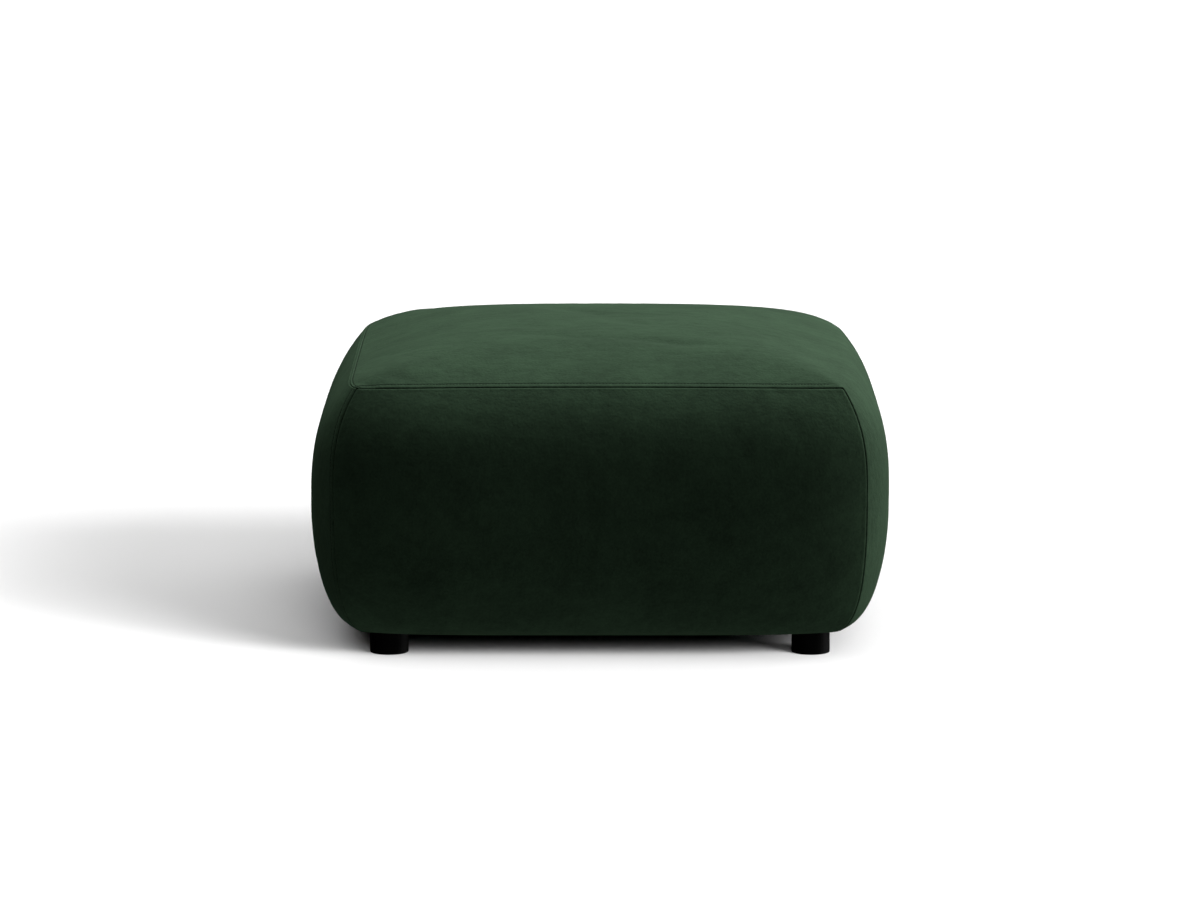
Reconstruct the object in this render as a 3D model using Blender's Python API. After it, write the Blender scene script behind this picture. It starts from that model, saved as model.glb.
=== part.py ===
"""A square pouf on four short round feet.

The padded body is a soft box with a low crown. Four cloth panels cover it: a front, a back and a
left side panel, and one long panel that runs over the top and down the right side with no seam
between the two. Each panel is modelled together with the filling behind it, so that the four fit
into one filled block. Sizes are in metres. The origin is on the floor under the middle of the
pouf, +Z is up and the front panel faces -Y.
"""

from dataclasses import dataclass
import math

import bmesh
import bpy
from mathutils import Vector

# Driving dimensions of the padded body.
TOP_SEAM_HEIGHT = 0.354
TOP_SEAM_CORNER = 0.314
TOP_SEAM_BOW = 0.012
TOP_SEAM_BOW_POWER = 7.0
TOP_SEAM_RISE = 0.003
TOP_SEAM_RISE_POWER = 2.4
CROWN_HEIGHT = 0.048
CROWN_POWER = 2.4
CROWN_HIP_SOFTNESS = 0.2
SIDE_BULGE_POWER = 4.3
UNDERSIDE_HEIGHT = 0.030

# The right upper edge has no seam to draw it in, so the padding stands fuller there.
PLAIN_EDGE_FULLNESS = 0.007
PLAIN_EDGE_REACH_POWER = 2.5
PLAIN_EDGE_END_POWER = 4.0

# How the panels divide the filling. Their inner faces are the outer ones drawn towards the heart.
HEART_HEIGHT = 0.200
INNER_SHARE = 0.85
PANEL_GAP = 0.0003
SEAM_EASE = 0.0007
SEAM_DEPTH = 0.0025

# Each panel starts as a block on a cube from -1 to 1, with its inner face halfway to the middle.
SIDE_PANELS = {"front_panel": (1, -1), "back_panel": (1, 1), "left_side_panel": (0, -1)}
SEGMENTS = 20
INNER_CUBE = 0.5
SAME_PLACE = 1e-6

# Feet.
FOOT_RADIUS = 0.025
FOOT_CENTRE = 0.275
FOOT_EDGE = 0.001
FOOT_SEGMENTS = 36

# Looks.
VELVET_GREEN = (0.030, 0.075, 0.038, 1.0)
VELVET_ROUGHNESS = 0.9
VELVET_SHEEN = 0.4
FOOT_BLACK = (0.006, 0.006, 0.006, 1.0)
FOOT_ROUGHNESS = 0.5
SHARP_DEGREES = 40

HEART = Vector((0.0, 0.0, HEART_HEIGHT))
OUTER_SHARE = INNER_SHARE + PANEL_GAP / TOP_SEAM_CORNER


@dataclass(frozen=True)
class Profile:
    """An upright curve of the body, from the top seam over its fullest point to the underside."""

    seam_reach: float
    full_reach: float
    full_height: float
    under_reach: float
    upper_power: float
    lower_power: float

    def at(self, up):
        """Reach and height where up runs from -1 at the underside to 1 at the top seam."""
        if up >= 0:
            drawn_in = (self.full_reach - self.seam_reach) * up**self.upper_power
            climb = (TOP_SEAM_HEIGHT - self.full_height) * up
            return self.full_reach - drawn_in, self.full_height + climb
        turn = -up * math.pi / 2
        outward = max(math.cos(turn), 0.0) ** (2 / self.lower_power)
        downward = math.sin(turn) ** (2 / self.lower_power)
        reach = self.under_reach + (self.full_reach - self.under_reach) * outward
        return reach, self.full_height - (self.full_height - UNDERSIDE_HEIGHT) * downward


MIDDLE = Profile(
    seam_reach=TOP_SEAM_CORNER + TOP_SEAM_BOW,
    full_reach=0.382,
    full_height=0.172,
    under_reach=0.337,
    upper_power=3.25,
    lower_power=1.8,
)
CORNER = Profile(
    seam_reach=TOP_SEAM_CORNER,
    full_reach=0.345,
    full_height=0.219,
    under_reach=0.291,
    upper_power=2.8,
    lower_power=2.85,
)


def arch(share, power):
    """1 in the middle of a span and 0 at both ends, where share is -1 and 1."""
    return 1 - min(abs(share), 1.0) ** power


def side_point(along, up):
    """Distance out, distance along and height on any of the four sides."""
    middle_reach, middle_height = MIDDLE.at(up)
    corner_reach, corner_height = CORNER.at(up)
    seam_share = max(up, 0.0)
    bulge = arch(along, SIDE_BULGE_POWER)
    bulge += seam_share * (arch(along, TOP_SEAM_BOW_POWER) - bulge)
    out = corner_reach + (middle_reach - corner_reach) * bulge
    rise = TOP_SEAM_RISE * seam_share * arch(along, TOP_SEAM_RISE_POWER)
    height = corner_height + (middle_height - corner_height) * bulge + rise
    return out, corner_reach * along, height


def crown(u, v):
    """Height of the top over its seams: a low hipped pillow whose hips run in from the corners."""
    across = arch(u, CROWN_POWER)
    back = arch(v, CROWN_POWER)
    softness = 4 * CROWN_HIP_SOFTNESS**2 * across * back
    lower = (across + back - math.sqrt((across - back) ** 2 + softness)) / 2
    return CROWN_HEIGHT * lower / (1 - CROWN_HIP_SOFTNESS)


def top_point(u, v):
    reach_x = TOP_SEAM_CORNER + TOP_SEAM_BOW * arch(v, TOP_SEAM_BOW_POWER)
    reach_y = TOP_SEAM_CORNER + TOP_SEAM_BOW * arch(u, TOP_SEAM_BOW_POWER)
    height = TOP_SEAM_HEIGHT + TOP_SEAM_RISE * arch(u * v, TOP_SEAM_RISE_POWER) + crown(u, v)
    return Vector((u * reach_x, v * reach_y, height))


def under_point(u, v):
    bulge = MIDDLE.under_reach - CORNER.under_reach
    reach_x = CORNER.under_reach + bulge * arch(v, SIDE_BULGE_POWER)
    reach_y = CORNER.under_reach + bulge * arch(u, SIDE_BULGE_POWER)
    return Vector((u * reach_x, v * reach_y, UNDERSIDE_HEIGHT))


def fullness(inward, along):
    """The push on the right upper edge, fading down the side and over the top."""
    share = max(inward, 0.0) ** PLAIN_EDGE_REACH_POWER * arch(along, PLAIN_EDGE_END_POWER)
    return Vector((1, 0, 1)).normalized() * PLAIN_EDGE_FULLNESS * share


def body_point(place):
    """The body's surface over a place on the cube from -1 to 1."""
    u, v, w = place
    if abs(w) >= max(abs(u), abs(v)):
        return top_point(u, v) + fullness(u, v) if w > 0 else under_point(u, v)
    if abs(v) >= abs(u):
        out, along, height = side_point(u, w)
        return Vector((along, math.copysign(out, v), height))
    out, along, height = side_point(v, w)
    point = Vector((math.copysign(out, u), along, height))
    return point + fullness(w, v) if u > 0 else point


def settled(place, neighbours, share):
    """Where a place on the cube, or its copy inside it, lies in the body.

    A place on the border of a neighbouring panel is a sewn one: it keeps a little to its own side
    and is drawn in, which leaves a shallow channel along every seam.
    """
    size = max(abs(c) for c in place)
    outer = [round(c / size, 6) for c in place]
    spaced = [math.sin(c * math.pi / 2) for c in outer]
    sewn = False
    for axis, sign in neighbours:
        if outer[axis] * sign == 1:
            spaced[axis] = sign * (1 - SEAM_EASE)
            sewn = True
    point = body_point(spaced)
    if sewn:
        point += (HEART - point).normalized() * SEAM_DEPTH
    return point if size > INNER_CUBE + SAME_PLACE else HEART.lerp(point, share)


def divide(block):
    """Cuts the block's outer and inner faces into grids and the walls between them into strips."""
    rims = []
    for edge in block.edges:
        sizes = [max(abs(c) for c in vertex.co) for vertex in edge.verts]
        if abs(sizes[0] - sizes[1]) < SAME_PLACE:
            rims.append(edge)
    bmesh.ops.subdivide_edges(block, edges=rims, cuts=SEGMENTS - 1, use_grid_fill=True)


def inner_faces(block, axis, sign):
    def inside(vertex):
        return abs(vertex.co[axis] * sign - INNER_CUBE) < SAME_PLACE

    return [face for face in block.faces if all(inside(vertex) for vertex in face.verts)]


def shape(block, neighbours, inner_sides, share):
    """Turns a block on the cube into a piece of the pouf."""
    divide(block)
    grids = [inner_faces(block, axis, sign) for axis, sign in inner_sides]
    for vertex in block.verts:
        vertex.co = settled(vertex.co, neighbours, share)
    for grid in grids:
        plate = bmesh.ops.dissolve_faces(block, faces=grid)["region"]
        bmesh.ops.poke(block, faces=plate, center_mode="MEAN")
    bmesh.ops.recalc_face_normals(block, faces=block.faces)


def side_panel_block(axis, sign):
    """One side of the body with the filling just behind it."""
    block = bmesh.new()
    bmesh.ops.create_cube(block, size=2)
    for vertex in block.verts:
        if vertex.co[axis] * sign < 0:
            vertex.co[axis] *= -1
            vertex.co *= INNER_CUBE
    others = [i for i in range(3) if i != axis]
    neighbours = [(i, way) for i in others for way in (-1, 1)]
    shape(block, neighbours, [(axis, sign)], OUTER_SHARE)
    return block


def top_and_right_block():
    """The long panel, the plain underside and the middle of the filling."""
    block = bmesh.new()
    bmesh.ops.create_cube(block, size=2 * INNER_CUBE)
    covered = [face for face in block.faces if face.normal.x > 0.5 or abs(face.normal.z) > 0.5]
    grown = bmesh.ops.extrude_face_region(block, geom=covered)["geom"]
    bmesh.ops.delete(block, geom=covered, context="FACES")
    for vertex in grown:
        if isinstance(vertex, bmesh.types.BMVert):
            vertex.co /= INNER_CUBE
    shape(block, SIDE_PANELS.values(), SIDE_PANELS.values(), INNER_SHARE)
    return block


def foot_block(x, y):
    height = UNDERSIDE_HEIGHT - PANEL_GAP
    block = bmesh.new()
    bmesh.ops.create_cone(
        block,
        cap_ends=True,
        segments=FOOT_SEGMENTS,
        radius1=FOOT_RADIUS,
        radius2=FOOT_RADIUS,
        depth=height,
    )
    bmesh.ops.translate(block, verts=block.verts, vec=(x, y, height / 2))
    rim = [edge for edge in block.edges if all(v.co.z < height / 2 for v in edge.verts)]
    bmesh.ops.bevel(
        block, geom=rim, offset=FOOT_EDGE, segments=2, profile=0.5, affect="EDGES", material=-1
    )
    return block


def plain_material(name, color, roughness, sheen):
    material = bpy.data.materials.new(name)
    material.use_nodes = True
    inputs = material.node_tree.nodes["Principled BSDF"].inputs
    inputs["Base Color"].default_value = color
    inputs["Roughness"].default_value = roughness
    inputs["Metallic"].default_value = 0.0
    inputs["Sheen Weight"].default_value = sheen
    return material


def place_piece(name, block, material):
    mesh = bpy.data.meshes.new(name)
    block.to_mesh(mesh)
    block.free()
    mesh.shade_smooth()
    mesh.set_sharp_from_angle(angle=math.radians(SHARP_DEGREES))
    mesh.materials.append(material)
    bpy.context.scene.collection.objects.link(bpy.data.objects.new(name, mesh))


def main():
    for leftover in list(bpy.data.objects):
        bpy.data.objects.remove(leftover)
    panels = {name: side_panel_block(*side) for name, side in SIDE_PANELS.items()}
    panels["top_and_right_panel"] = top_and_right_block()
    for name, block in panels.items():
        velvet = plain_material(name, VELVET_GREEN, VELVET_ROUGHNESS, VELVET_SHEEN)
        place_piece(name, block, velvet)
    for depth, y in (("front", -FOOT_CENTRE), ("back", FOOT_CENTRE)):
        for side, x in (("left", -FOOT_CENTRE), ("right", FOOT_CENTRE)):
            name = f"{depth}_{side}_foot"
            plastic = plain_material(name, FOOT_BLACK, FOOT_ROUGHNESS, 0.0)
            place_piece(name, foot_block(x, y), plastic)


main()
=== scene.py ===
# %% [markdown]
# # A cube pouf stool, dressed
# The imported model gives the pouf's plain solids: four padded panels and four feet. This lesson
# puts fine covers in the place of the panels, sews them, and gives every surface its real finish.
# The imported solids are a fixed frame, so they are loaded first and their whole box is kept.

# %% Load the frame
import math
from collections import namedtuple

import bmesh
import bpy
import numpy as np
from mathutils import Matrix, Vector


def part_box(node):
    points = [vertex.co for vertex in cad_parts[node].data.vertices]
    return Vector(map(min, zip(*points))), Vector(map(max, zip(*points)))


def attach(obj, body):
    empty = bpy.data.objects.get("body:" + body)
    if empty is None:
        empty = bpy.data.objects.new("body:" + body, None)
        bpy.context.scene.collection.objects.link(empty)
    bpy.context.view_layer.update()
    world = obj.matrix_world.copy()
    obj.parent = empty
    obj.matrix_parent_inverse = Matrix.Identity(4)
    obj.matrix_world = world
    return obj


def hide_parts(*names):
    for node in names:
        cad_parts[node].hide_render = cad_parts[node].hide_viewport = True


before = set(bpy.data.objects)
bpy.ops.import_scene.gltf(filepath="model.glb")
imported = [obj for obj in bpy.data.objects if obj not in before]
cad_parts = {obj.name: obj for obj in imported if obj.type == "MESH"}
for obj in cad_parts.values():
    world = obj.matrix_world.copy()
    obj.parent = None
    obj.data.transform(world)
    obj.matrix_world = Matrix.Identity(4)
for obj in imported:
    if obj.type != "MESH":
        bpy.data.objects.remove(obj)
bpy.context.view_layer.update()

print("nodes:", ", ".join(sorted(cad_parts)))

# %% [markdown]
# ## The form of the padding
# A pouf like this is foam under a tight cover: its sides swell between the seams and its top
# rises in a low crown. Every spot of the skin can be named by its place on a cube that runs from
# -1 to 1 to the right, to the back and up, so one function per side is enough. The sizes are
# close to the solids' own, in metres, and the underside is read off the frame.

# %% The seams around the top
TOP_SEAM_HEIGHT = 0.354
TOP_SEAM_CORNER = 0.314
TOP_SEAM_BOW = 0.012
TOP_SEAM_RISE = 0.003
TOP_SEAM_RISE_POWER = 2.4
UNDERSIDE_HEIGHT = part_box("front_panel")[0].z
print(f"top seam {TOP_SEAM_HEIGHT} m and underside {UNDERSIDE_HEIGHT:.4f} m over the floor")

# %% [markdown]
# An upright curve runs from the top seam over the fullest point down to the underside. Two of
# them, one in the middle of a side and one at its corner, are blended to give the whole side. A
# higher power keeps a curve full for longer and turns it in faster at its end.

# %% The upright curves
Curve = namedtuple("Curve", "seam full full_height under lean_power under_power")
FULL, FULL_HEIGHT = 0.3827, 0.172
MIDDLE_SEAM = TOP_SEAM_CORNER + TOP_SEAM_BOW
CORNER_CURVE = Curve(TOP_SEAM_CORNER, 0.345, 0.219, 0.291, 2.8, 2.85)
FRONT_CURVE = Curve(MIDDLE_SEAM, FULL, FULL_HEIGHT, 0.314, 4.0, 2.3)
RIGHT_CURVE = Curve(MIDDLE_SEAM, FULL, FULL_HEIGHT, 0.337, 3.3, 1.8)
LEFT_CURVE = Curve(MIDDLE_SEAM, FULL, FULL_HEIGHT, 0.337, 3.0, 1.8)


def upright_curve(up, curve):
    """Reach and height where up runs from -1 at the underside to 1 at the top seam."""
    rising = np.clip(up, 0, 1)
    turn = np.clip(-up, 0, 1) * math.pi / 2
    outward = np.clip(np.cos(turn), 0, 1) ** (2 / curve.under_power)
    downward = np.clip(np.sin(turn), 0, 1) ** (2 / curve.under_power)
    upper_reach = curve.full - (curve.full - curve.seam) * rising**curve.lean_power
    upper_height = curve.full_height + (TOP_SEAM_HEIGHT - curve.full_height) * rising
    lower_reach = curve.under + (curve.full - curve.under) * outward
    lower_height = curve.full_height - (curve.full_height - UNDERSIDE_HEIGHT) * downward
    above = up >= 0
    return np.where(above, upper_reach, lower_reach), np.where(above, upper_height, lower_height)


for name, curve in {"front": FRONT_CURVE, "right": RIGHT_CURVE, "corner": CORNER_CURVE}.items():
    print(f"{name} curve: {curve.full - curve.under:.3f} m drawn in under the pouf")

# %% [markdown]
# Along a side the swelling is an arch between the two corners. Up at the seam the arch gives way
# to the bow of the seam itself, which is flatter, because the sewn edge holds the cloth there.

# %% One side
Side = namedtuple("Side", "middle bulge_power bow_powers bow_onset")
EVEN_BOW, LEFT_BOW = (7.0, 7.0), (18.0, 7.0)
FRONT_SIDE = Side(FRONT_CURVE, 5.5, EVEN_BOW, 1.0)
RIGHT_SIDE = Side(RIGHT_CURVE, 4.3, EVEN_BOW, 1.0)
LEFT_SIDE = Side(LEFT_CURVE, 4.3, LEFT_BOW, 2.0)


def arch(share, power):
    """1 in the middle of a span and 0 at both ends, where share is -1 and 1."""
    return 1 - np.clip(np.abs(share), 0, 1) ** power


def bow(along, powers):
    """An arch with one power before the middle and another after it."""
    return arch(along, np.where(along < 0, *powers))


def side_skin(along, up, side):
    """Distance out, distance along and height on a side. The bow of the seam takes over on the
    way up, and later where bow_onset is higher."""
    middle_reach, middle_height = upright_curve(up, side.middle)
    corner_reach, corner_height = upright_curve(up, CORNER_CURVE)
    seam_share = np.clip(up, 0, 1)
    bulge = arch(along, side.bulge_power)
    bulge = bulge + seam_share**side.bow_onset * (bow(along, side.bow_powers) - bulge)
    rise = TOP_SEAM_RISE * seam_share * arch(along, TOP_SEAM_RISE_POWER)
    out = corner_reach + (middle_reach - corner_reach) * bulge
    height = corner_height + (middle_height - corner_height) * bulge + rise
    return out, corner_reach * along, height


def underside_reach(along, side):
    corner, middle = CORNER_CURVE.under, side.middle.under
    return corner + (middle - corner) * arch(along, side.bulge_power)


print("a quarter along, the front reaches", side_skin(-0.5, 0.0, FRONT_SIDE)[0].round(4), "m")

# %% [markdown]
# The top is held down by its seams, so the crown has a hip that runs in from each corner, like a
# low roof with soft edges. Over the right side there is no seam to draw the cloth in, so the
# padding stands fuller along that edge.

# %% The crown and the full right edge
CROWN_HEIGHT = 0.048
CROWN_POWER = 2.4
HIP_SOFTNESS = 0.2
# Place and reach on the cube, and height in metres, of the waves in the two left hips.
HIP_WAVES = [(0.955, 0.05, -0.0018), (0.80, 0.08, 0.0014)]
EDGE_FULLNESS = 0.0078
EDGE_TOP_POWER, EDGE_SIDE_POWER = 4.2, 2.8
EDGE_END_POWER = 3.4


def crown(u, v):
    """Height of the top over its seams."""
    across, back = arch(u, CROWN_POWER), arch(v, CROWN_POWER)
    softness = 4 * HIP_SOFTNESS**2 * across * back
    lower = (across + back - np.sqrt((across - back) ** 2 + softness)) / 2
    height = CROWN_HEIGHT * lower / (1 - HIP_SOFTNESS)
    for at, reach, rise in HIP_WAVES:
        height = height + rise * np.exp(-((u + at) ** 2 + (abs(v) - at) ** 2) / reach**2)
    return height


def fullness(towards_edge, along, power):
    """How far the padding is pushed outwards, and as far upwards, near the right upper edge."""
    share = np.clip(towards_edge, 0, 1) ** power * arch(along, EDGE_END_POWER)
    return EDGE_FULLNESS * share * math.sqrt(0.5)


print("crown", crown(0.0, 0.0).round(4), "m, edge", fullness(1.0, 0.0, 1.0).round(4), "m")

# %% [markdown]
# Sides, top and underside go together into one function, which the rest of the lesson asks for
# any spot of the skin.

# %% One skin for every face
FRONT, BACK, LEFT, RIGHT, TOP, UNDER = (1, -1), (1, 1), (0, -1), (0, 1), (2, 1), (2, -1)


def skin(face, place):
    """The body's surface at places on one face of the cube. A face is its axis and its sign."""
    u, v, w = np.moveaxis(place, -1, 0)
    if face == TOP:
        seam_bow = np.where(u < 0, bow(v, LEFT_BOW), bow(v, EVEN_BOW))
        x = u * (TOP_SEAM_CORNER + TOP_SEAM_BOW * seam_bow)
        y = v * (TOP_SEAM_CORNER + TOP_SEAM_BOW * bow(u, EVEN_BOW))
        z = TOP_SEAM_HEIGHT + TOP_SEAM_RISE * arch(u * v, TOP_SEAM_RISE_POWER) + crown(u, v)
        push = fullness(u, v, EDGE_TOP_POWER)
        x, z = x + push, z + push
    elif face == UNDER:
        x, y = u * underside_reach(v, RIGHT_SIDE), v * underside_reach(u, FRONT_SIDE)
        z = np.full_like(x, UNDERSIDE_HEIGHT)
    elif face == RIGHT:
        out, y, z = side_skin(v, w, RIGHT_SIDE)
        push = fullness(w, v, EDGE_SIDE_POWER)
        x, z = out + push, z + push
    elif face == LEFT:
        out, y, z = side_skin(v, w, LEFT_SIDE)
        x = -out
    else:
        out, x, z = side_skin(u, w, FRONT_SIDE)
        y = face[1] * out
    return np.stack([x, y, z], axis=-1)


print("front middle:", skin(FRONT, np.array([0.0, -1.0, 0.0])).round(4))

# %% [markdown]
# ## Where the cloth turns in at a seam
# Two panels that are sewn together both turn in along the line that halves the angle between
# them. To find it, each face tells which way it looks, and at a seam the two answers are added.
# Near a corner of the cube three faces meet, so there the three are added.

# %% Which way the skin looks
HEART = np.array([0.0, 0.0, 0.200])
SMALL_STEP = 1e-3
CORNER_REACH = 0.010


def unit(vectors):
    return vectors / np.linalg.norm(vectors, axis=-1, keepdims=True)


def away_from_heart(directions, points):
    return directions * np.sign(np.sum(directions * (points - HEART), axis=-1, keepdims=True))


def outlook(face, place):
    """Unit vectors that point out of the skin, worked out from two small steps over it."""
    here = skin(face, place)
    steps = []
    for axis in range(3):
        if axis == face[0]:
            continue
        inward = np.where(place[..., axis] > 0, -1.0, 1.0)
        beside = place.copy()
        beside[..., axis] += inward * SMALL_STEP
        steps.append((skin(face, beside) - here) * inward[..., None])
    return away_from_heart(unit(np.cross(steps[0], steps[1])), here)


def seam_outlook(own_faces, other_face, place):
    """Which way a seam faces. own_faces gives the panel's own face at each place."""
    own = np.stack([outlook(face, place[i]) for i, face in enumerate(own_faces)])
    facing = unit(own + outlook(other_face, place))
    here = skin(other_face, place)
    for number in np.ndindex(2, 2, 2):
        corner = np.array(number) * 2.0 - 1
        if corner[other_face[0]] != other_face[1]:
            continue
        meeting = [(axis, int(corner[axis])) for axis in range(3)]
        shared = unit(sum(outlook(face, corner) for face in meeting))
        near = np.linalg.norm(here - skin(other_face, corner), axis=-1, keepdims=True)
        weight = np.exp(-((near / CORNER_REACH) ** 2))
        facing = unit(facing + (shared - facing) * weight)
    return facing


top_left_corner = np.array([[-1.0, -1.0, 1.0]])
print("top left corner faces", seam_outlook([TOP], FRONT, top_left_corner).round(2))

# %% [markdown]
# ## Rows of the covers
# A cover is one grid of quads, and its rows lie close together where the cloth turns into a seam
# and wide apart where it only swells. A row's place is found by walking over the panel with steps
# of the wanted size. Places and steps are both measured on the cube, and the long panel walks on
# over two of its edges.


# %% Spread the rows
WALK_STEPS = 8000


def spread(count, stops):
    """count + 1 places from the first stop to the last. A stop is a place and the step there."""
    at, step = np.array(stops).T
    fine = np.linspace(at[0], at[-1], WALK_STEPS + 1)
    middle = (fine[1:] + fine[:-1]) / 2
    passed = np.concatenate([[0], np.cumsum(np.diff(fine) / np.interp(middle, at, step))])
    return np.interp(np.linspace(0, passed[-1], count + 1), passed, fine)


SEAM_STOPS = [
    (0, 0.0008),
    (0.01, 0.0014),
    (0.034, 0.0014),
    (0.05, 0.004),
    (0.12, 0.012),
    (0.5, 0.02),
]
from_first_seam = [(-1 + distance, step) for distance, step in SEAM_STOPS]
to_last_seam = [(1 - distance, step) for distance, step in reversed(SEAM_STOPS)]
over_the_plain_edge = [(0.6, 0.02), (0.85, 0.012), (1, 0.007), (1.2, 0.012), (1.5, 0.02)]
down_and_under = [(2.5, 0.02), (2.9, 0.012), (3, 0.01), (3.2, 0.05), (4.7, 0.05), (5, 0.01)]
ALONG = spread(200, from_first_seam + to_last_seam)
UP = spread(150, [(-1, 0.004), (-0.9, 0.012), (-0.5, 0.02)] + to_last_seam)
LONG_WAY = spread(310, from_first_seam + over_the_plain_edge + down_and_under)
print("first rows off a seam:", (np.diff(ALONG)[:4] * TOP_SEAM_CORNER * 1000).round(2), "mm")

# %% [markdown]
# ## The panels before sewing
# The front, back and left panels each lie on one face of the cube. The fourth panel is the long
# one: it starts at the left upper seam, runs over the top, down the right side and in under the
# pouf. Its own edge over the right side is plain, so the skin is averaged over a short way there,
# which rounds it as padding does.

# %% Places and skins of the four panels
PLAIN_EDGE, LOWER_EDGE = 1.0, 3.0
ROUNDED_REACH = 0.08
ROUNDED_SAMPLES = 9
ROUNDED_END_POWER = 16.0


def side_panel_places(face, along, up):
    axis, sign = face
    place = np.empty((len(along), len(up), 3))
    place[..., axis] = sign
    place[..., 1 - axis] = along[:, None]
    place[..., 2] = up[None, :]
    return place


def long_way_face(q):
    return TOP if q <= PLAIN_EDGE else RIGHT if q <= LOWER_EDGE else UNDER


def long_way_place(q, v):
    """The place on the cube of q along the long panel and v across it."""
    face = long_way_face(q)
    u, w = {TOP: (q, 1.0), RIGHT: (1.0, 2 - q), UNDER: (4 - q, -1.0)}[face]
    return np.stack([np.full_like(v, u), v, np.full_like(v, w)], axis=-1)


def long_way_skin(q, v):
    """One row across the long panel, rounded where it crosses the plain edge."""
    sharp = skin(long_way_face(q), long_way_place(q, v))
    reach = max(ROUNDED_REACH - abs(q - PLAIN_EDGE), 0.0) / 2
    shifts = np.linspace(-reach, reach, ROUNDED_SAMPLES) if reach else [0.0]
    rows = [skin(long_way_face(q + s), long_way_place(q + s, v)) for s in shifts]
    return sharp + (np.mean(rows, axis=0) - sharp) * arch(v, ROUNDED_END_POWER)[:, None]


side_faces = {"front_panel": FRONT, "back_panel": BACK, "left_side_panel": LEFT}
places = {name: side_panel_places(face, ALONG, UP) for name, face in side_faces.items()}
skins = {name: skin(side_faces[name], place) for name, place in places.items()}
long_name = "top_and_right_panel"
places[long_name] = np.stack([long_way_place(q, ALONG) for q in LONG_WAY], axis=1)
skins[long_name] = np.stack([long_way_skin(q, ALONG) for q in LONG_WAY], axis=1)
for name, points in skins.items():
    print(name, points.shape[:2], "rows")

# %% [markdown]
# ## From rows to a padded piece
# Blender's grid gives the rows and their quads, and each vertex is then put where its place on
# the panel says. The border is extruded inwards to the filling behind the cloth and closed there,
# so every panel is one closed, filled piece like the solid that it stands for. New edges and
# faces can come in another order each time, which is enough to let a simulation turn out a little
# different, so they are sorted.

# %% Build one closed block
INNER_SHARE = 0.85


def grid_block(points):
    """A bmesh grid with its vertices put at the points, and the vertices as an array."""
    block = bmesh.new()
    across, up = points.shape[0] - 1, points.shape[1] - 1
    made = bmesh.ops.create_grid(block, x_segments=across, y_segments=up, size=1)["verts"]
    vertices = np.empty(points.shape[:2], dtype=object)
    for vertex in made:
        i = round((vertex.co.x + 1) / 2 * across)
        j = round((vertex.co.y + 1) / 2 * up)
        vertices[i, j] = vertex
    for i, j in np.ndindex(*vertices.shape):
        vertices[i, j].co = points[i, j]
    return block, vertices


def close_back(block, edges):
    plate = bmesh.ops.contextual_create(block, geom=edges)["faces"]
    bmesh.ops.poke(block, faces=plate, center_mode="MEAN")


def back_wall(block, vertices, wraps):
    """Extrudes the border towards the heart of the pouf and closes it there. The long panel wraps
    over two edges, so its back is closed with a front, a back and a left plate."""
    rows = {tuple(vertex.co): where for where, vertex in np.ndenumerate(vertices)}
    rim = [edge for edge in block.edges if edge.is_boundary]
    grown = bmesh.ops.extrude_edge_only(block, edges=rim)["geom"]
    new = [part for part in grown if isinstance(part, bmesh.types.BMVert)]
    where = {vertex: rows[tuple(vertex.co)] for vertex in new}
    for vertex in new:
        vertex.co = Vector(HEART).lerp(vertex.co, INNER_SHARE)
    edges = [part for part in grown if isinstance(part, bmesh.types.BMEdge) and part.is_boundary]
    if not wraps:
        close_back(block, edges)
        return
    last_row, last_column = vertices.shape[0] - 1, vertices.shape[1] - 1
    left_plate = [edge for edge in edges if len({where[vertex][0] for vertex in edge.verts}) == 2]
    for row in (0, last_row):
        ends = [vertex for vertex in new if where[vertex] in ((row, 0), (row, last_column))]
        upright = bmesh.ops.contextual_create(block, geom=ends)["edges"]
        plate = [edge for edge in edges if {where[vertex][0] for vertex in edge.verts} == {row}]
        close_back(block, plate + upright)
        left_plate += upright
    close_back(block, left_plate)


def put_in_order(block):
    """Sorts edges and faces by the numbers of their vertices."""
    block.verts.index_update()
    count = len(block.verts)

    def rank(part):
        first, second, *others = sorted(vertex.index for vertex in part.verts)
        return (first * count + second) * count + (others[0] if others else 0)

    block.edges.sort(key=rank)
    block.faces.sort(key=rank)


def closed_mesh(name, points, wraps):
    """The panel as a closed mesh, with the vertex numbers of its outer rows."""
    block, vertices = grid_block(points)
    block.verts.index_update()
    numbers = np.array([[vertex.index for vertex in row] for row in vertices])
    back_wall(block, vertices, wraps)
    bmesh.ops.recalc_face_normals(block, faces=block.faces)
    put_in_order(block)
    open_edges = sum(not edge.is_manifold for edge in block.edges)
    print(f"{name}: {len(block.faces)} faces, {open_edges} open edges")
    mesh = bpy.data.meshes.new(name)
    block.to_mesh(mesh)
    block.free()
    return mesh, numbers


# %% [markdown]
# ## Letting the cloth settle
# A sewn cover is never perfectly even: held along its seams and pushed out by the foam, it
# puckers a little. The form above already has the whole swelling, so Blender's Cloth is run on a
# coarse copy of each panel, with the seams pinned, a light pressure and no gravity. What it adds
# over a smooth swelling is kept, made small, and laid on the fine rows.

# %% Run the cloth on one coarse panel
CLOTH_FRAMES = 20
CLOTH_QUALITY = 6
PRESSURE = 4.0
STRETCH_STIFFNESS, SHEAR_STIFFNESS, BENDING_STIFFNESS = 40, 12, 0.5
SLACK = -0.015


def row_normals(points):
    outward = unit(np.cross(np.gradient(points, axis=0), np.gradient(points, axis=1)))
    return away_from_heart(outward, points)


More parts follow.
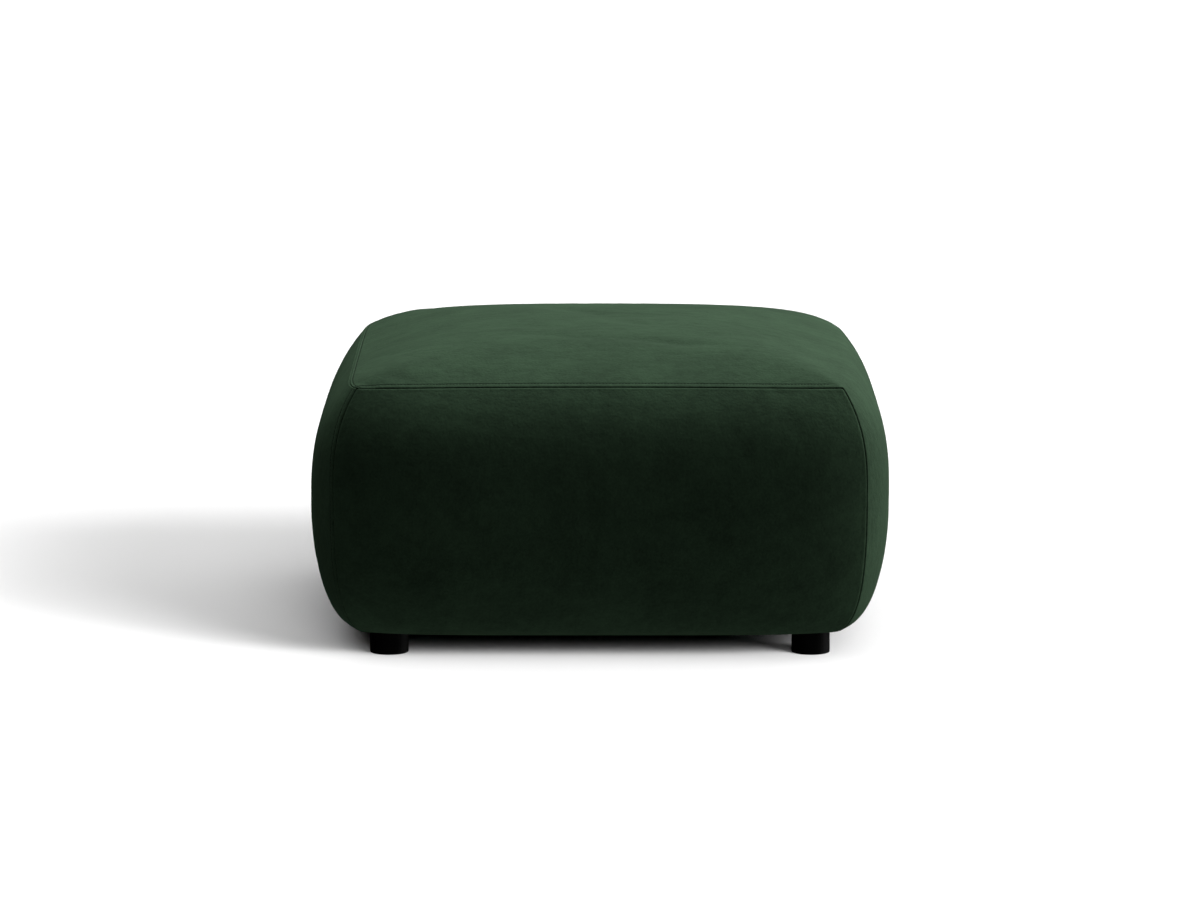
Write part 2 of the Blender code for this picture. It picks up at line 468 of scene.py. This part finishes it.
def settle(points, held, wraps):
    """How far the cloth moves out of the panel at each row, where held rows stay."""
    mesh, numbers = closed_mesh("trial", points, wraps)
    trial = bpy.data.objects.new("trial", mesh)
    bpy.context.scene.collection.objects.link(trial)
    pinned = np.ones(len(mesh.vertices), dtype=bool)
    pinned[numbers[~held]] = False
    seams = trial.vertex_groups.new(name="seams")
    seams.add(np.flatnonzero(pinned).tolist(), 1.0, "REPLACE")
    cloth = trial.modifiers.new("cloth", "CLOTH")
    velvet = cloth.settings
    velvet.quality = CLOTH_QUALITY
    velvet.tension_stiffness = velvet.compression_stiffness = STRETCH_STIFFNESS
    velvet.shear_stiffness = SHEAR_STIFFNESS
    velvet.bending_stiffness = BENDING_STIFFNESS
    velvet.shrink_min = SLACK
    velvet.use_pressure = True
    velvet.uniform_pressure_force = PRESSURE
    velvet.vertex_group_mass = "seams"
    velvet.effector_weights.gravity = 0
    cloth.collision_settings.use_collision = False
    cloth.point_cache.frame_start, cloth.point_cache.frame_end = 1, CLOTH_FRAMES
    for step in range(1, CLOTH_FRAMES + 1):
        bpy.context.scene.frame_set(step)
    moved = trial.evaluated_get(bpy.context.evaluated_depsgraph_get()).data
    after = np.array([vertex.co for vertex in moved.vertices])[numbers]
    bpy.context.scene.frame_set(1)
    bpy.data.objects.remove(trial)
    return np.sum((after - points) * row_normals(points), axis=-1)


# %% [markdown]
# To see what the cloth adds, its movement is smoothed many times over and the smooth part is
# taken away. What is left lies on coarse rows, so it is carried to the fine ones along a curve.

# %% Smooth some rows and make them finer
def smoothed(rows, rounds):
    for _ in range(rounds):
        wide = np.pad(rows, 1, mode="edge")
        rows = (rows + wide[2:, 1:-1] + wide[:-2, 1:-1] + wide[1:-1, 2:] + wide[1:-1, :-2]) / 5
    return rows


def resampled(rows, coarse, fine, axis):
    """Rows at finer places, along a smooth curve through the coarse ones."""
    at = np.interp(fine, coarse, np.arange(len(coarse)))
    base = np.clip(np.floor(at).astype(int), 0, len(coarse) - 2)
    t = at - base
    shares = {
        -1: ((2 - t) * t - 1) * t,
        0: (3 * t - 5) * t * t + 2,
        1: ((4 - 3 * t) * t + 1) * t,
        2: (t - 1) * t * t,
    }
    total = 0
    for shift, share in shares.items():
        near = np.take(rows, np.clip(base + shift, 0, len(coarse) - 1), axis=axis)
        total = total + near * np.expand_dims(share / 2, 1 - axis)
    return total


# %% [markdown]
# The four panels are settled one by one. The puckers are kept off the plain edge and the
# underside, where the cloth lies calm, and none may stand higher than half a millimetre: the
# cover is tight.

# %% Settle the four panels
COARSE_ALONG = spread(76, [(-1, 0.012), (-0.9, 0.022), (0.9, 0.022), (1, 0.012)])
COARSE_UP = spread(60, [(-1, 0.02), (-0.8, 0.03), (0.9, 0.022), (1, 0.012)])
COARSE_LONG = spread(140, [(-1, 0.012), (-0.9, 0.025), (2.9, 0.025), (3.1, 0.1), (5, 0.2)])
PLAIN_EDGE_CALM = 0.16
LONG_WAY_CALM, UP_CALM = (2.3, 2.8), (-0.8, -0.4)
HELD_HEIGHT = 0.02
SMOOTHING_ROUNDS = 24
PUCKER_SHARE = 0.12
PUCKER_LIMIT = 0.0005


def puckers(name):
    """How far the settled cloth of a panel stands out at each fine row."""
    if name == long_name:
        coarse, fine = (COARSE_ALONG, COARSE_LONG), (ALONG, LONG_WAY)
        points = np.stack([long_way_skin(q, COARSE_ALONG) for q in COARSE_LONG], axis=1)
        calm = 1 - np.exp(-(((COARSE_LONG - PLAIN_EDGE) / PLAIN_EDGE_CALM) ** 2))
        calm = calm * np.interp(COARSE_LONG, LONG_WAY_CALM, (1, 0))
    else:
        coarse, fine = (COARSE_ALONG, COARSE_UP), (ALONG, UP)
        points = skin(side_faces[name], side_panel_places(side_faces[name], *coarse))
        calm = np.interp(COARSE_UP, UP_CALM, (0, 1))
    held = np.zeros(points.shape[:2], dtype=bool)
    held[[0, -1]] = held[:, [0, -1]] = True
    held |= points[..., 2] < UNDERSIDE_HEIGHT + HELD_HEIGHT
    moved = settle(points, held, name == long_name)
    kept = (moved - smoothed(moved, SMOOTHING_ROUNDS)) * PUCKER_SHARE * calm
    kept = PUCKER_LIMIT * np.tanh(kept / PUCKER_LIMIT)
    print(f"{name}: cloth moved up to {moved.max() * 1000:.1f} mm,", end=" ")
    print(f"puckers {kept.std() * 1000:.2f} mm")
    return resampled(resampled(kept, coarse[0], fine[0], 0), coarse[1], fine[1], 1)


for name in skins:
    skins[name] = skins[name] + puckers(name)[..., None] * row_normals(skins[name])

# %% [markdown]
# ## Creases where people sit
# The velvet on the top has a few long, shallow creases and one fold that runs out to the front
# corner. A simulation can't be told where to put them, so each is drawn as a line on the top and
# the rows near it are moved in by a millimetre or two.

# %% Press the creases into the top
# Start and end on the top from -1 to 1, depth and half width in metres.
CREASES = [
    ((-0.50, -0.42), (0.16, -0.53), 0.0011, 0.008),
    ((0.06, -0.52), (0.54, -0.62), 0.0020, 0.009),
    ((-0.26, 0.43), (0.06, -0.09), 0.0020, 0.010),
    ((0.06, -0.09), (0.34, 0.14), 0.0018, 0.010),
    ((0.02, -0.10), (0.24, -0.26), 0.0015, 0.009),
    ((-0.55, -0.22), (-0.10, -0.30), 0.0009, 0.010),
    ((-0.96, -0.44), (-0.70, -0.56), 0.0010, 0.008),
    ((0.33, -0.45), (0.68, -0.40), 0.0010, 0.009),
    ((0.50, -0.06), (0.78, -0.36), 0.0013, 0.010),
    ((0.66, -0.22), (0.88, -0.76), 0.0014, 0.012),
]
WANDER, WANDER_TURN, WANDER_START = 0.006, 7, 40
FADE_POWER = 0.7


def crease_depth(place, start, end, depth, half_width):
    """How far one crease moves each spot of the top in. It fades out at its ends and wanders."""
    start, end = (np.array(point) * TOP_SEAM_CORNER for point in (start, end))
    way = end - start
    from_start = place[..., :2] * TOP_SEAM_CORNER - start
    length = np.linalg.norm(way)
    share = from_start @ way / length**2
    aside = (from_start[..., 0] * way[1] - from_start[..., 1] * way[0]) / length
    wave = np.sin(share * WANDER_TURN + start[0] * WANDER_START)
    aside = aside + WANDER * wave * np.sin(share * math.pi)
    fade = np.sin(np.clip(share, 0, 1) * math.pi) ** FADE_POWER
    return depth * fade * np.exp(-((aside / half_width) ** 2) / 2)


top_rows = LONG_WAY <= PLAIN_EDGE
pressed = sum(crease_depth(places[long_name][:, top_rows], *crease) for crease in CREASES)
skins[long_name][:, top_rows, 2] -= pressed
print(f"{len(CREASES)} creases, deepest {pressed.max() * 1000:.2f} mm")

# %% [markdown]
# ## Sewing: the channel, the lips and the topstitched groove
# Velvet is thick, so at a seam each panel rolls over into the joint with a small round lip. The
# top and the left side are topstitched as well, about 9 mm from the seam, or half of that along
# the left upper one. The needle line pulls a shallow groove, and the cloth between it and the
# seam stands up in a soft ridge.

# %% How deep the cloth lies at a distance from its seam
JOINT_DEPTH = 0.0022
STITCH_DEPTH = 0.0007
STITCH_WIDTH = 0.0007
# A border is the panel's edge (axis and end of its rows), the face that it is sewn to, the width
# of its roll, the height of its ridge, how far off the needle line runs, and where it does: 1
# where it is sewn and 0 where it isn't.
Border = namedtuple("Border", "axis end neighbour roll ridge offset sewn_share")


def seam_depth(distance, border, sewn_share):
    """How far the cloth is drawn in, where distance is measured over the cloth."""
    rolled = 1 - np.clip(distance / border.roll, 0, 1)
    depth = JOINT_DEPTH * (1 - np.sqrt(1 - rolled**2))
    reach = border.offset * sewn_share + 2 * border.roll * (1 - sewn_share)
    over = np.clip(distance / reach, 0, 1)
    depth = depth - border.ridge * np.sin(over * math.pi) ** 2
    from_needle = (distance - border.offset) / STITCH_WIDTH
    return depth + sewn_share * STITCH_DEPTH * np.exp(-(from_needle**2) / 2)


def distance_from(border, points):
    """The way over the cloth from a border to each row."""
    axis = border.axis
    steps = np.linalg.norm(np.diff(points, axis=axis), axis=-1)
    start = np.zeros_like(np.take(steps, [0], axis=axis))
    way = np.cumsum(np.concatenate([start, steps], axis=axis), axis=axis)
    return way if border.end == 0 else np.take(way, [-1], axis=axis) - way


# %% [markdown]
# Every border of a panel is drawn in by that depth, towards the line that halves its seam. The
# two lips also stand a hair apart, so that a dark line shows between them.

# %% Draw a panel in along its borders
JOINT_SPACE = 0.00015


def sew(points, place, own_faces, borders):
    """The panel with all its borders drawn in. own_faces gives its face at each row up."""
    sewn = points.copy()
    for border in borders:
        axis, end = border.axis, border.end
        line = np.take(place, end, axis=axis)
        own = own_faces if axis == 0 else [own_faces[end]] * len(line)
        facing = seam_outlook(own, border.neighbour, line)
        distance = distance_from(border, points)
        share = np.expand_dims(np.broadcast_to(border.sewn_share, len(line)), axis)
        depth = seam_depth(distance, border, share)
        row, next_row = (np.take(points, i, axis=axis) for i in (end, 1 if end == 0 else -2))
        aside = unit(next_row - row) * JOINT_SPACE
        facing, aside = np.expand_dims(facing, axis), np.expand_dims(aside, axis)
        fade = np.exp(-((distance / border.roll) ** 2))[..., None]
        sewn += aside * fade - facing * depth[..., None]
    return sewn


# %% [markdown]
# The front and back covers are sewn plainly, with a soft lip. The left one is topstitched at its
# front and back, and the long one on the top alone: its needle lines stop at the plain edge.

# %% Sew the four covers
TOP_STITCH, LEFT_TOP_STITCH, LEFT_SIDE_STITCH = 0.009, 0.0045, 0.0085
TIGHT_ROLL, SOFT_ROLL = 0.0022, 0.0042
LOW_RIDGE, HIGH_RIDGE = 0.00015, 0.0005
STITCH_END, STITCH_END_FADE = PLAIN_EDGE - 0.02, 0.05
on_the_top = np.clip((STITCH_END - LONG_WAY) / STITCH_END_FADE, 0, 1)


def plain_seam(axis, end, neighbour, roll=TIGHT_ROLL):
    return Border(axis, end, neighbour, roll, LOW_RIDGE, TOP_STITCH, 0)


def topstitched(axis, end, neighbour, ridge, offset, sewn_share=1):
    return Border(axis, end, neighbour, TIGHT_ROLL, ridge, offset, sewn_share)


face_borders = [
    plain_seam(0, 0, LEFT, SOFT_ROLL),
    plain_seam(0, -1, RIGHT, SOFT_ROLL),
    plain_seam(1, 0, UNDER, SOFT_ROLL),
    plain_seam(1, -1, TOP, SOFT_ROLL),
]
BORDERS = {
    "front_panel": face_borders,
    "back_panel": face_borders,
    "left_side_panel": [
        topstitched(0, 0, FRONT, HIGH_RIDGE, LEFT_SIDE_STITCH),
        topstitched(0, -1, BACK, HIGH_RIDGE, LEFT_SIDE_STITCH),
        plain_seam(1, 0, UNDER),
        plain_seam(1, -1, TOP),
    ],
    long_name: [
        topstitched(0, 0, FRONT, LOW_RIDGE, TOP_STITCH, on_the_top),
        topstitched(0, -1, BACK, LOW_RIDGE, TOP_STITCH, on_the_top),
        topstitched(1, 0, LEFT, LOW_RIDGE, LEFT_TOP_STITCH),
        plain_seam(1, -1, LEFT),
    ],
}
own_faces = {name: [face] * len(UP) for name, face in side_faces.items()}
own_faces[long_name] = [long_way_face(q) for q in LONG_WAY]
sewn = {}
for name, points in skins.items():
    sewn[name] = sew(points, places[name], own_faces[name], BORDERS[name])
    heights = sewn[name][..., 2]
    print(name, "lowest", heights.min().round(4), "highest", heights.max().round(4))

# %% [markdown]
# ## From a mesh to a piece
# Every new piece goes into the scene in the same way: smooth shading, one finish, and an object
# that stays at the origin with its place in its mesh, so that a finish on object coordinates
# can't slide.


# %% Give a piece its finish and its place in the scene
def show_piece(name, mesh, material):
    mesh.shade_smooth()
    mesh.materials.append(material)
    piece = bpy.data.objects.new(name, mesh)
    bpy.context.scene.collection.objects.link(piece)
    return piece


def block_piece(name, block, material):
    mesh = bpy.data.meshes.new(name)
    block.to_mesh(mesh)
    block.free()
    return show_piece(name, mesh, material)


# %% [markdown]
# ## Shader maths written as sums
# A finish is a small calculation on the place of a spot. This class wraps a node's output, so
# that the calculation can be written as ordinary sums and products, and adds the Math nodes
# itself.


# %% Numbers that are calculated in the shader
class Value:
    """A number at every spot of a surface, which adds Math nodes as it is calculated with."""

    def __init__(self, finish, socket):
        self.finish, self.socket = finish, socket

    def _math(self, operation, *values):
        inputs = dict(enumerate(values))
        return self.finish.node("ShaderNodeMath", {"operation": operation}, inputs)

    def __add__(self, other):
        return self._math("ADD", self, other)

    def __radd__(self, other):
        return self._math("ADD", other, self)

    def __mul__(self, other):
        return self._math("MULTIPLY", self, other)


# %% [markdown]
# A finish is a material with the few kinds of node that every surface here needs: the place of a
# spot, noise on it, a colour between two others, and a bump. Noise on the object's own
# coordinates stays put from every side, and it runs on over a seam as one cloth would.

# %% Finishes that are built one node at a time
# The Mix node has its colour sockets under these numbers.
SHARE, FIRST_COLOR, SECOND_COLOR, MIXED_COLOR = 0, 6, 7, 2


class Finish:
    """A material that is built one node at a time."""

    def __init__(self, name):
        self.material = bpy.data.materials.new(name)
        self.material.use_nodes = True
        self.nodes = self.material.node_tree.nodes
        self.shader = self.nodes["Principled BSDF"]

    def node(self, kind, settings=None, inputs=None, output=0):
        made = self.nodes.new(kind)
        for key, value in (settings or {}).items():
            setattr(made, key, value)
        self.fill(made, inputs or {})
        return Value(self, made.outputs[output])

    def fill(self, node, inputs):
        for key, value in inputs.items():
            if isinstance(value, Value):
                self.material.node_tree.links.new(value.socket, node.inputs[key])
            else:
                node.inputs[key].default_value = value

    def place(self):
        return self.node("ShaderNodeTexCoord", output="Object")

    def noise(self, place, scale, detail, roughness=0.6):
        inputs = {"Vector": place, "Scale": scale, "Detail": detail, "Roughness": roughness}
        return self.node("ShaderNodeTexNoise", {}, inputs)

    def blend(self, share, first, second):
        inputs = {SHARE: share, FIRST_COLOR: (*first, 1.0), SECOND_COLOR: (*second, 1.0)}
        return self.node("ShaderNodeMix", {"data_type": "RGBA"}, inputs, MIXED_COLOR)

    def bump(self, height, distance, strength=1.0):
        inputs = {"Strength": strength, "Distance": distance, "Height": height}
        return self.node("ShaderNodeBump", {}, inputs)


# %% [markdown]
# ## Deep green velvet
# Velvet is a dense stand of short threads. Seen from above it is nearly black green, and seen
# along the surface its tips catch the light, so the shader's sheen gives most of its brightness.
# Where hands have brushed the pile, it leans another way and looks lighter or darker in soft
# patches, with streaks from side to side and a fine grain.

# %% The velvet finish
STREAK_STRETCH = (9.0, 44.0, 26.0)
DARK_VELVET, LIGHT_VELVET = (0.010, 0.027, 0.012), (0.045, 0.096, 0.049)
VELVET_TIPS = (0.116, 0.200, 0.122, 1.0)
DARKEST_NAP, LIGHTEST_NAP = 0.38, 0.62


def velvet_finish():
    velvet = Finish("green_velvet")
    place = velvet.place()
    combed = velvet.node("ShaderNodeMapping", {}, {"Vector": place, "Scale": STREAK_STRETCH})
    patches = velvet.noise(place, 13.0, 4.0)
    streaks = velvet.noise(combed, 1.6, 5.0, 0.62)
    mottle = velvet.noise(place, 75.0, 3.0)
    grain = velvet.noise(place, 300.0, 2.0)
    nap = patches * 0.38 + streaks * 0.18 + mottle * 0.24 + grain * 0.2
    nap_range = {"Value": nap, "From Min": DARKEST_NAP, "From Max": LIGHTEST_NAP}
    lightness = velvet.node("ShaderNodeMapRange", {}, nap_range)
    velvet.fill(
        velvet.shader,
        {
            "Base Color": velvet.blend(lightness, DARK_VELVET, LIGHT_VELVET),
            "Roughness": 0.9,
            "Specular IOR Level": 0.1,
            "Sheen Weight": 1.0,
            "Sheen Roughness": 0.95,
            "Sheen Tint": VELVET_TIPS,
            "Normal": velvet.bump(streaks * 0.35 + mottle * 0.4 + grain * 0.12, 0.002),
        },
    )
    return velvet.material


green_velvet = velvet_finish()
print(green_velvet.name, "has", len(green_velvet.node_tree.nodes), "nodes")

# %% [markdown]
# ## Putting the covers on
# Each sewn cover takes the place of one packed panel, which stays behind it for collisions. It
# rides on the pouf's one body. The covers throw no green light on the pale floor: a studio
# picture of a dark seat has a neutral shadow.


def on_the_pouf(piece):
    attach(piece, "root")


for name, points in sewn.items():
    cover_name = name.replace("panel", "cover")
    mesh, _ = closed_mesh(cover_name, points, name == long_name)
    cover = show_piece(cover_name, mesh, green_velvet)
    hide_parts(name)
    on_the_pouf(cover)
    cover.visible_diffuse = False

# %% [markdown]
# ## The topstitch
# A needle line is a row of short, tight stitches of thick thread that lie in the groove. The
# groove's place is read off the sewn rows: on every row it is the spot at the needle line's
# distance from the seam.

# %% Find a needle line
LOWEST_STITCH = 0.012


def spot_on(line, way, at):
    """The values of a line at one distance along it. way gives the distance of its entries."""
    return np.array([np.interp(at, way, column) for column in line.T])


def needle_line(name, border):
    """The spots of a needle line and the way out of the cloth at each of them."""
    distance = distance_from(border, skins[name])
    fields = np.concatenate([sewn[name], row_normals(skins[name])], axis=-1)
    distance, fields = (np.moveaxis(values, border.axis, 1) for values in (distance, fields))
    if border.end != 0:
        distance, fields = distance[:, ::-1], fields[:, ::-1]
    line = np.array([spot_on(row, way, border.offset) for way, row in zip(distance, fields)])
    kept = np.broadcast_to(border.sewn_share, len(line)) > 0.5
    kept = kept & (line[:, 2] > UNDERSIDE_HEIGHT + LOWEST_STITCH)
    return line[kept][:, :3], unit(line[kept][:, 3:])


# %% [markdown]
# Each stitch is a small sphere drawn out along the line, with a few dozen faces, because there
# are hundreds. The row stops one and a half stitches short of both ends of the line.

# %% Lay the stitches along a line
STITCH_SPACING = 0.0042
STITCH_SIZE = (0.0034, 0.0009, 0.0007)
STITCH_LIFT = 0.0002
STITCH_SIDES, STITCH_RINGS = 6, 4
LOOK_AHEAD = 0.001


def stitches(line, outward):
    """A bmesh with one drawn-out sphere for every stitch along the line."""
    steps = np.linalg.norm(np.diff(line, axis=0), axis=-1)
    way = np.concatenate([[0], np.cumsum(steps)])
    count = round(way[-1] / STITCH_SPACING) - 2
    size = Matrix.Diagonal((*STITCH_SIZE, 2.0)) * 0.5
    thread = bmesh.new()
    for at in (np.arange(count) + 1.5) * STITCH_SPACING:
        here, ahead = (Vector(spot_on(line, way, spot)) for spot in (at, at + LOOK_AHEAD))
        up = Vector(spot_on(outward, way, at)).normalized()
        along = (ahead - here).normalized()
        side = up.cross(along).normalized()
        turn = Matrix((along, side, along.cross(side))).transposed().to_4x4()
        place = Matrix.Translation(here + up * STITCH_LIFT) @ turn @ size
        bmesh.ops.create_uvsphere(
            thread, u_segments=STITCH_SIDES, v_segments=STITCH_RINGS, radius=1, matrix=place
        )
    return thread, count


# %% [markdown]
# The thread is matt and twisted. Its colour is a shade deeper than the velvet, because thread has
# no standing pile to catch the light.

# %% Thread, and the five needle lines
DARK_THREAD, LIGHT_THREAD = (0.010, 0.026, 0.012), (0.034, 0.070, 0.037)


def thread_finish():
    thread = Finish("green_thread")
    fibres = thread.noise(thread.place(), 2200.0, 2.0)
    thread.fill(
        thread.shader,
        {
            "Base Color": thread.blend(fibres, DARK_THREAD, LIGHT_THREAD),
            "Roughness": 0.7,
            "Specular IOR Level": 0.3,
            "Normal": thread.bump(fibres, 0.0002),
        },
    )
    return thread.material


green_thread = thread_finish()
# The panel of each needle line, and the number of its border.
NEEDLE_LINES = {
    "top_front_stitches": (long_name, 0),
    "top_back_stitches": (long_name, 1),
    "top_left_stitches": (long_name, 2),
    "left_front_stitches": ("left_side_panel", 0),
    "left_back_stitches": ("left_side_panel", 1),
}
for name, (panel, number) in NEEDLE_LINES.items():
    thread, count = stitches(*needle_line(panel, BORDERS[panel][number]))
    on_the_pouf(block_piece(name, thread, green_thread))
    print(name, count)

# %% [markdown]
# ## Feet
# The four feet are plain turned or moulded stubs of black plastic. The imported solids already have
# their true shape, so they stay and only get their finish: matt, faintly grained, and a little
# smoother where they have been rubbed.

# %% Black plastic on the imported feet
BLACK = (0.0006, 0.0006, 0.0006, 1.0)


def plastic_finish():
    plastic = Finish("black_plastic")
    place = plastic.place()
    grain = plastic.noise(place, 900.0, 2.0, 0.5)
    rubbed = plastic.noise(place, 60.0, 3.0, 0.5)
    plastic.fill(
        plastic.shader,
        {
            "Base Color": BLACK,
            "Roughness": 0.45 + rubbed * 0.2,
            "Specular IOR Level": 0.2,
            "Normal": plastic.bump(grain, 0.0002, 0.2),
        },
    )
    return plastic.material


black_plastic = plastic_finish()
feet = [node for name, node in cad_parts.items() if name.endswith("_foot")]
for foot in feet:
    foot.material_slots[0].material = black_plastic
print(len(feet), "feet in", black_plastic.name)

# %% [markdown]
# ## A pale floor
# The pouf stands on a plain studio floor that runs on into the white behind it. It is one large
# square, which is no part of the pouf. It takes no part in lighting the pouf, so that its
# brightness can be set for itself.

# %% The floor
FLOOR_SIZE = 30
PALE = (0.82, 0.82, 0.82, 1.0)
block = bmesh.new()
bmesh.ops.create_grid(block, x_segments=1, y_segments=1, size=FLOOR_SIZE)
pale_floor = Finish("pale_floor")
matt = {"Base Color": PALE, "Roughness": 0.9, "Specular IOR Level": 0.0}
pale_floor.fill(pale_floor.shader, matt)
floor = block_piece("floor", block, pale_floor.material)
floor.visible_diffuse = False
floor.visible_glossy = False
floor.visible_shadow = False
print(f"floor {2 * FLOOR_SIZE} m wide")

# %% [markdown]
# ## Soft studio light
# Large soft boxes far away are the same everywhere on so small an object, so each is a sun lamp
# with a wide angle, which softens its shadow. One set lights the floor. Two of its lamps stand
# side by side like one wide box, so the long shadow fades out sideways. The other set lights the
# pouf: mostly from behind, above and the right, which is what makes the edges of velvet glow and
# leaves its front deep and dark. The covers are hidden from bounced rays, so the lamps are found
# by shadow rays alone, which every cover still stops.


# %% The lamps
def sun_light(name, direction, strength, softness):
    """A parallel studio light. direction points from the pouf towards the light, and softness is
    how wide the light looks from there, in degrees."""
    lamp = bpy.data.lights.new(name, "SUN")
    lamp.energy = strength
    lamp.angle = math.radians(softness)
    lamp.cycles.use_multiple_importance_sampling = False
    holder = bpy.data.objects.new(name, lamp)
    holder.rotation_euler = Vector(direction).to_track_quat("Z", "Y").to_euler()
    bpy.context.scene.collection.objects.link(holder)
    return holder


def light_only(lights, name, thing, state):
    """Aims lights at one thing alone (INCLUDE) or keeps them off it (EXCLUDE)."""
    group = bpy.data.collections.new(name)
    group.objects.link(thing)
    group.collection_objects[0].light_linking.link_state = state
    for light in lights:
        light.light_linking.receiver_collection = group


floor_lights = [
    sun_light("floor_right_light", (0.76, -0.53, 0.375), 3.15, 22),
    sun_light("floor_key_light", (0.60, -0.71, 0.375), 2.35, 22),
    sun_light("floor_front_light", (0.08, -0.92, 0.375), 0.74, 22),
    sun_light("floor_top_light", (0.3, 0, 1), 2.69, 130),
]
light_only(floor_lights, "aimed_at_the_floor", floor, "INCLUDE")
pouf_lights = [
    sun_light("back_right_light", (0.5, 0.6, 0.6), 0.95, 60),
    sun_light("top_light", (0.05, 0.3, 1), 1.08, 60),
    sun_light("right_light", (1, 0.15, 0.32), 0.82, 60),
    sun_light("low_light", (0, -0.42, -0.9), 0.33, 60),
]
light_only(pouf_lights, "kept_off_the_floor", floor, "EXCLUDE")
print(len(floor_lights), "lamps on the floor,", len(pouf_lights), "on the pouf")

# %% [markdown]
# The wall behind is seen as white but sends out no light of its own, because the lamps do all the
# lighting. The Is Camera Ray output tells the two apart.

# %% The white background
SEEN_WHITE = 1.05
world = bpy.data.worlds.new("studio")
bpy.context.scene.world = world
world.use_nodes = True
tree = world.node_tree
unlit = tree.nodes["Background"]
unlit.inputs["Strength"].default_value = 0.0
seen = tree.nodes.new("ShaderNodeBackground")
seen.inputs["Color"].default_value = (1, 1, 1, 1)
seen.inputs["Strength"].default_value = SEEN_WHITE
ray = tree.nodes.new("ShaderNodeLightPath")
choice = tree.nodes.new("ShaderNodeMixShader")
tree.links.new(ray.outputs["Is Camera Ray"], choice.inputs[0])
tree.links.new(unlit.outputs[0], choice.inputs[1])
tree.links.new(seen.outputs[0], choice.inputs[2])
tree.links.new(choice.outputs[0], tree.nodes["World Output"].inputs["Surface"])
bpy.context.scene.view_settings.view_transform = "Standard"

# %% [markdown]
# ## The camera
# A long lens from almost eight metres away keeps the upright edges nearly parallel. It stands a
# little above the pouf and looks down by nine degrees, so the top shows as a narrow, bright band.

# %% Place the camera
CAMERA_PLACE = (0, -7.79, 1.4745)
CAMERA_TILT = 80.867
LENS_LENGTH, SENSOR_WIDTH = 175.8, 36
FARTHEST = 100
lens = bpy.data.cameras.new("camera")
lens.lens = LENS_LENGTH
lens.sensor_width = SENSOR_WIDTH
lens.clip_end = FARTHEST
camera = bpy.data.objects.new("camera", lens)
camera.location = CAMERA_PLACE
camera.rotation_euler = (math.radians(CAMERA_TILT), 0, 0)
bpy.context.scene.collection.objects.link(camera)
bpy.context.scene.camera = camera
print(f"camera {math.dist(CAMERA_PLACE, (0, 0, 0)):.2f} m away")
